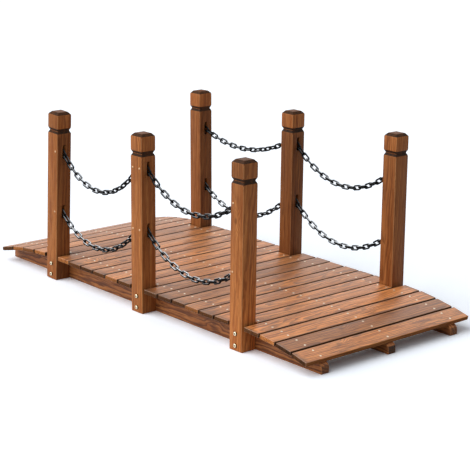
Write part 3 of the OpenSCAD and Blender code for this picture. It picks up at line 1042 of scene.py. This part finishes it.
class FOOTBRIDGE_OT_screws(bpy.types.Operator):
    """Model the post screws with a cross recess in each head, and the chain pins"""
    bl_idname = "footbridge.screws"
    bl_label = "Screws and pins"

    def execute(self, context):
        settings = context.scene.footbridge
        draw = random.Random(settings.wood.seed + 3)
        screw = self.screw(settings.metal)
        pin = self.pin()
        for side_name, side in SIDES.items():
            for model, node, name in (
                    (screw, f"{side_name}_post_screws", f"{side_name}_screw_heads"),
                    (pin, f"{side_name}_chain_pins", f"{side_name}_pin_heads")):
                copies = [copied(model, facing_out(point, side, draw.uniform(0, math.pi / 2)))
                          for point in head_middles(node, side)]
                fit(joined(name, copies), None, "zinc", node)
        bpy.data.objects.remove(screw)
        bpy.data.objects.remove(pin)
        return {"FINISHED"}

    def screw(self, metal):
        """A pan head with a cross cut into it, with painted shade in the cross and round the rim."""
        radius, height = head_size("front_post_screws")
        head = domed_head("screw_head", radius, height, vertices=32, rounding=0.7, segments=4)
        arm = 0.5 * radius
        rim = 0.88 * radius
        bars = []
        for x, y in ((arm, metal.recess_width / 2), (metal.recess_width / 2, arm)):
            bars.append(block("recess", Vector((-x, -y, height - metal.recess_depth)),
                              Vector((x, y, height + metal.recess_depth))))
        for bar in bars:
            only(head)
            cut = head.modifiers.new("recess", "BOOLEAN")
            cut.object = bar
            cut.operation = "DIFFERENCE"
            bpy.ops.object.modifier_apply(modifier=cut.name)
        for bar in bars:
            bpy.data.objects.remove(bar)

        # Painted shade on the faces down in the cross and on the rim
        def in_painted_shade(place, normal):
            deep = abs(normal.z) < UPRIGHT or place.z < height - metal.recess_depth + TOUCH
            return place.xy.length > rim or (place.xy.length < arm + TOUCH and deep)

        head.data.materials.clear()
        head.data.materials.append(finish_named("yellow_zinc_plate"))
        refinish(head, finish_named("shaded_zinc"), in_painted_shade)
        return head

    def pin(self):
        """The low round head of a chain pin."""
        radius, height = head_size("front_chain_pins")
        head = domed_head("pin_head", radius, height, vertices=20, rounding=0.8, segments=3)
        head.data.materials.append(finish_named("coppery_zinc"))
        return head


class FOOTBRIDGE_OT_nails(bpy.types.Operator):
    """Drive two nails into each board over each stringer"""
    bl_idname = "footbridge.nails"
    bl_label = "Deck nails"

    def execute(self, context):
        metal = context.scene.footbridge.metal
        draw = random.Random(context.scene.footbridge.wood.seed + 4)
        nail = domed_head(
            "nail_head", metal.nail_head / 2, metal.nail_rise, vertices=10, rounding=0.8, segments=2)
        stray = metal.nail_stray
        copies = []
        for node in BOARDS:
            turn = turn_of(node, 2)
            low, high = turned_box(node, turn)
            for stringer in STRINGERS:
                for offset in (-metal.nail_offset, metal.nail_offset):
                    at = Vector((
                        (low.x + high.x) / 2 + offset + draw.uniform(-stray, stray),
                        middle_of(stringer, 1) + draw.uniform(-stray, stray),
                        high.z))
                    copies.append(copied(nail, turn @ Matrix.Translation(at)))
        fit(joined("deck_nails", copies), finish_named("bright_zinc_plate"), "zinc")
        bpy.data.objects.remove(nail)
        return {"FINISHED"}


class FOOTBRIDGE_OT_stage(bpy.types.Operator):
    """Set the floor, the light and the camera"""
    bl_idname = "footbridge.stage"
    bl_label = "Stage"

    def execute(self, context):
        stage = context.scene.footbridge.stage
        context.scene.view_settings.view_transform = "Standard"
        bpy.ops.object.select_all(action="DESELECT")
        bpy.ops.mesh.primitive_plane_add(size=FLOOR_SIZE)
        floor = context.object
        floor.name = "floor"
        pale_floor(stage)
        floor.data.materials.append(finish_named("pale_floor"))
        self.light(context.scene, stage)
        self.camera(context.scene, stage)
        return {"FINISHED"}

    def light(self, scene, stage):
        """A broad soft sun from the front left, and an even sky that looks white."""
        bpy.ops.object.light_add(type="SUN", location=(0, 0, 4))
        key = bpy.context.object
        key.name = "key_light"
        key.data.energy = stage.key
        key.data.angle = stage.key_breadth
        key.rotation_euler = Vector(stage.key_from).to_track_quat("Z", "Y").to_euler()
        world = bpy.data.worlds.new("white_room")
        world.use_nodes = True
        scene.world = world
        tree = world.node_tree
        level = add(tree, "MapRange", {"Value": seen_rays(tree), "To Min": stage.sky})
        sky = tree.nodes["Background"]
        sky.inputs["Color"].default_value = (1, 1, 1, 1)
        tree.links.new(level.outputs["Result"], sky.inputs["Strength"])

    def camera(self, scene, stage):
        """The photograph's own viewpoint."""
        az, el, roll = stage.azimuth, stage.elevation, stage.roll
        back = Vector((math.sin(az) * math.cos(el), -math.cos(az) * math.cos(el), math.sin(el)))
        right = Vector((math.cos(az), math.sin(az), 0))
        up = back.cross(right)
        rolled_right = math.cos(roll) * right + math.sin(roll) * up
        rolled_up = math.cos(roll) * up - math.sin(roll) * right
        bpy.ops.object.camera_add()
        camera = bpy.context.object
        camera.name = "camera"
        camera.data.lens = stage.lens
        camera.data.sensor_width = SENSOR_WIDTH
        camera.matrix_world = Matrix.Translation(stage.eye) @ Matrix(
            (rolled_right, rolled_up, back)).transposed().to_4x4()
        scene.camera = camera


class FOOTBRIDGE_PT_panel(bpy.types.Panel):
    """The bridge's steps, in order"""
    bl_idname = "FOOTBRIDGE_PT_panel"
    bl_label = "Garden footbridge"
    bl_space_type = "VIEW_3D"
    bl_region_type = "UI"
    bl_category = "Footbridge"

    def draw(self, context):
        for step in STEPS:
            self.layout.operator(step.bl_idname)


STEPS = (
    FOOTBRIDGE_OT_finishes,
    FOOTBRIDGE_OT_stringers,
    FOOTBRIDGE_OT_posts,
    FOOTBRIDGE_OT_boards,
    FOOTBRIDGE_OT_chains,
    FOOTBRIDGE_OT_screws,
    FOOTBRIDGE_OT_nails,
    FOOTBRIDGE_OT_stage,
)
SETTINGS = (WoodSettings, PostSettings, MetalSettings, StageSettings, FootbridgeSettings)


def register():
    for item in (*SETTINGS, *STEPS, FOOTBRIDGE_PT_panel):
        bpy.utils.register_class(item)
    bpy.types.Scene.footbridge = PointerProperty(type=FootbridgeSettings)


def unregister():
    del bpy.types.Scene.footbridge
    for item in reversed((*SETTINGS, *STEPS, FOOTBRIDGE_PT_panel)):
        bpy.utils.unregister_class(item)


def main():
    register()
    bpy.ops.footbridge.finishes()
    bpy.ops.footbridge.stringers()
    bpy.ops.footbridge.posts()
    bpy.ops.footbridge.boards()
    bpy.ops.footbridge.chains()
    bpy.ops.footbridge.screws()
    bpy.ops.footbridge.nails()
    bpy.ops.footbridge.stage()


if __name__ == "__main__":
    main()
